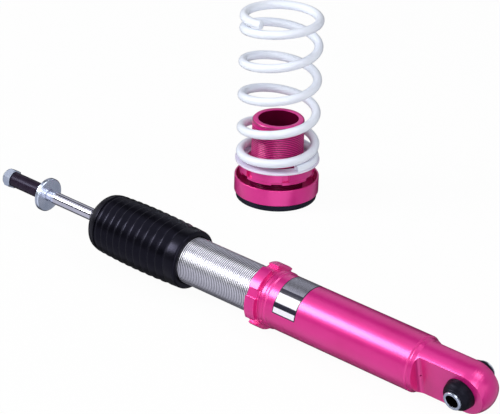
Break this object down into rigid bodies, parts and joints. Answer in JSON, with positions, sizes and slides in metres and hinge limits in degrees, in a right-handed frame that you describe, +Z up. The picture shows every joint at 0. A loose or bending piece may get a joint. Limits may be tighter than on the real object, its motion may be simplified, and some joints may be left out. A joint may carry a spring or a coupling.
{
  "type": "coilover",
  "caption": "Rear coilover set: lying monotube damper with boot, threaded tube, lock collar and bushed eye; beside it a standing coil spring on a threaded perch.",
  "frame": {"origin": "centre of the whole set's box at its base, the surface that both units rest on", "axes": "+X level, along the lying damper towards its eye; +Y from the damper towards the spring unit; +Z up"},
  "size_m": [0.5846, 0.2887, 0.1975],
  "materials": {
    "pink": "satin magenta anodised",
    "zinc": "zinc plated",
    "steel": "turned",
    "tube_steel": "zinc plated, threaded",
    "chrome": "polished",
    "rubber": "matte",
    "black_sleeve": "satin",
    "foam": "microcellular foam",
    "powder_white": "powder coated",
    "seat": "satin",
    "label_film": "printed film",
    "bronze": "bearing band"
  },
  "bodies": {
    "mount": {"lower_mount": "pink", "mount_eye": "pink", "label": "label_film", "eye_bush_rubber": "rubber"},
    "bush_sleeve": {"eye_bush_sleeve": "zinc"},
    "lock_collar": {"lock_collar": "pink"},
    "tube_travel": {"rod_seal": "rubber"},
    "tube": {"damper_tube": "tube_steel", "rod_guide": "steel", "wiper": "rubber", "tube_end_plug": "steel", "gas_valve_screw": "bronze"},
    "gas_piston": {"floating_piston": "steel", "floating_piston_ring": "rubber"},
    "rod_travel": {"piston_band": "bronze"},
    "rod": {"piston_rod": "chrome", "rebound_stop": "rubber", "piston": "steel", "compression_shims": "steel", "rebound_shims": "steel", "piston_nut": "zinc", "top_washer": "zinc", "spacer_sleeve": "black_sleeve", "top_nut": "zinc"},
    "boot": {"dust_boot": "rubber", "bump_stop": "foam"},
    "spring_unit": {"base_pad": "rubber", "base_cup": "pink", "perch_tube": "pink"},
    "spring_seat": {"seat_ring": "seat"},
    "perch_collar": {"perch_collar": "pink"},
    "perch_lock": {"perch_lock_ring": "pink"},
    "spring": {"coil_spring": "powder_white"}
  },
  "joints": [
    {"name": "bush_twist", "type": "hinge", "parent": "mount", "child": "bush_sleeve", "pos_m": [0.26634, -0.11365, 0.02486], "axis": [-0.0068, -0.9668, -0.2554], "range_deg": [-12, 12], "stiffness_Nm_per_rad": 2},
    {"name": "collar_travel", "type": "slide", "parent": "mount", "child": "lock_collar", "axis": [-0.9996, 0, 0.0266], "range_m": [0, 0.006]},
    {"name": "tube_advance", "type": "slide", "parent": "mount", "child": "tube_travel", "axis": [-0.9996, 0, 0.0266], "range_m": [-0.0101, 0.0301]},
    {"name": "tube_turn", "type": "hinge", "parent": "tube_travel", "child": "tube", "pos_m": [0.0807, -0.11365, 0.02979], "axis": [-0.9996, 0, 0.0266], "range_deg": [-1800, 5400]},
    {"name": "gas_piston_travel", "type": "slide", "parent": "tube_travel", "child": "gas_piston", "axis": [0.9996, 0, -0.0266], "range_m": [0, 0.0071]},
    {"name": "rod_stroke", "type": "slide", "parent": "tube_travel", "child": "rod_travel", "axis": [0.9996, 0, -0.0266], "range_m": [0, 0.07], "stiffness_N_per_m": 60, "springref_m": -0.08},
    {"name": "rod_turn", "type": "hinge", "parent": "rod_travel", "child": "rod", "pos_m": [-0.11922, -0.11365, 0.03511], "axis": [0.9996, 0, -0.0266], "continuous": true},
    {"name": "boot_travel", "type": "slide", "parent": "rod_travel", "child": "boot", "axis": [-0.9996, 0, 0.0266], "range_m": [0, 0.05]},
    {"name": "unit_lift", "type": "slide", "parent": "mount", "child": "spring_unit", "axis": [0, 0, 1], "range_m": [0, 0.06]},
    {"name": "seat_height", "type": "slide", "parent": "spring_unit", "child": "spring_seat", "axis": [0, 0, 1], "range_m": [-0.0141, 0.0401]},
    {"name": "collar_turn", "type": "hinge", "parent": "spring_seat", "child": "perch_collar", "pos_m": [-0.13073, 0.10215, 0.03], "axis": [0, 0, 1], "range_deg": [-2520, 7200]},
    {"name": "lock_ring_travel", "type": "slide", "parent": "perch_collar", "child": "perch_lock", "axis": [0, 0, -1], "range_m": [0, 0.002]},
    {"name": "spring_lift", "type": "slide", "parent": "spring_seat", "child": "spring", "axis": [0, 0, 1], "range_m": [0, 0.06]}
  ],
  "couplings": [
    {"joint": "tube_advance", "follows": "tube_turn", "m_per_rad": 0.00031831},
    {"joint": "seat_height", "follows": "collar_turn", "m_per_rad": 0.00031831},
    {"joint": "gas_piston_travel", "follows": "rod_stroke", "ratio": 0.099723}
  ]
}
